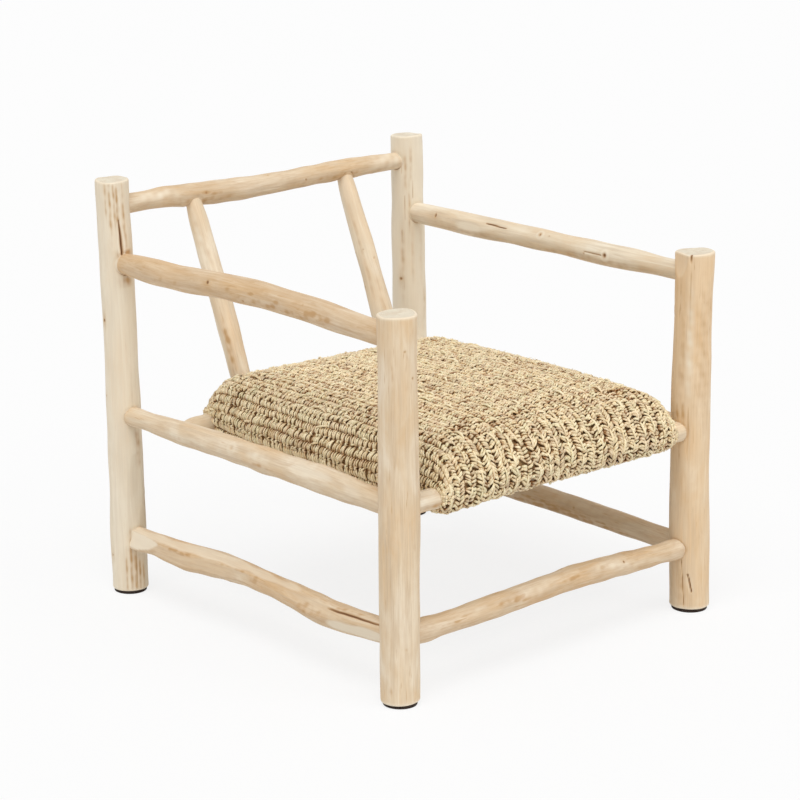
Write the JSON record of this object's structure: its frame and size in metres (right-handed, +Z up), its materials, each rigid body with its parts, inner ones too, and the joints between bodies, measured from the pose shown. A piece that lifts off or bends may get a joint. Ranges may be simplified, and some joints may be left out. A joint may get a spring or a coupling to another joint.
{
  "type": "armchair",
  "caption": "Low rustic armchair of peeled branch posts, arms, rails and stretchers, pegged together, with a stuffed crocheted raffia seat wrapped round its front and back rails.",
  "frame": {"origin": "centre of the bounding box on the floor under the glides", "axes": "+Z up, the chair faces -Y, +X to the right as seen from the front"},
  "size_m": [0.716, 0.7678, 0.712],
  "materials": {
    "peeled_wood": "peeled, dry sanded, unvarnished",
    "slat_wood": "sawn",
    "peg_wood": "whittled",
    "raffia": "crocheted raffia, matt with a faint sheen",
    "stuffing": "matt",
    "glide": "matt",
    "screw_steel": "bright zinc"
  },
  "bodies": {
    "root": {"front_left_post": "peeled_wood", "front_right_post": "peeled_wood", "back_left_post": "peeled_wood", "back_right_post": "peeled_wood", "left_arm": "peeled_wood", "right_arm": "peeled_wood", "crest_rail": "peeled_wood", "left_spindle": "peeled_wood", "right_spindle": "peeled_wood", "left_seat_rail": "peeled_wood", "right_seat_rail": "peeled_wood", "front_seat_rail": "peeled_wood", "back_seat_rail": "peeled_wood", "left_stretcher": "peeled_wood", "right_stretcher": "peeled_wood", "front_stretcher": "peeled_wood", "front_left_glide": "glide", "front_right_glide": "glide", "back_left_glide": "glide", "back_right_glide": "glide", "left_arm_back_peg": "peg_wood", "left_arm_front_peg": "peg_wood", "right_arm_back_peg": "peg_wood", "right_arm_front_peg": "peg_wood", "left_seat_rail_peg": "peg_wood", "right_seat_rail_peg": "peg_wood", "left_stretcher_peg": "peg_wood", "right_stretcher_peg": "peg_wood", "crest_left_peg": "peg_wood", "crest_right_peg": "peg_wood", "back_rail_left_peg": "peg_wood", "back_rail_right_peg": "peg_wood", "seat_slat_1": "slat_wood", "seat_slat_2": "slat_wood", "seat_slat_3": "slat_wood", "seat_slat_4": "slat_wood", "seat_slat_5": "slat_wood", "slat_screw_front_1": "screw_steel", "slat_screw_front_2": "screw_steel", "slat_screw_front_3": "screw_steel", "slat_screw_front_4": "screw_steel", "slat_screw_front_5": "screw_steel", "slat_screw_back_1": "screw_steel", "slat_screw_back_2": "screw_steel", "slat_screw_back_3": "screw_steel", "slat_screw_back_4": "screw_steel", "slat_screw_back_5": "screw_steel", "raffia_cover": "raffia", "seat_pad": "stuffing"}
  },
  "joints": []
}
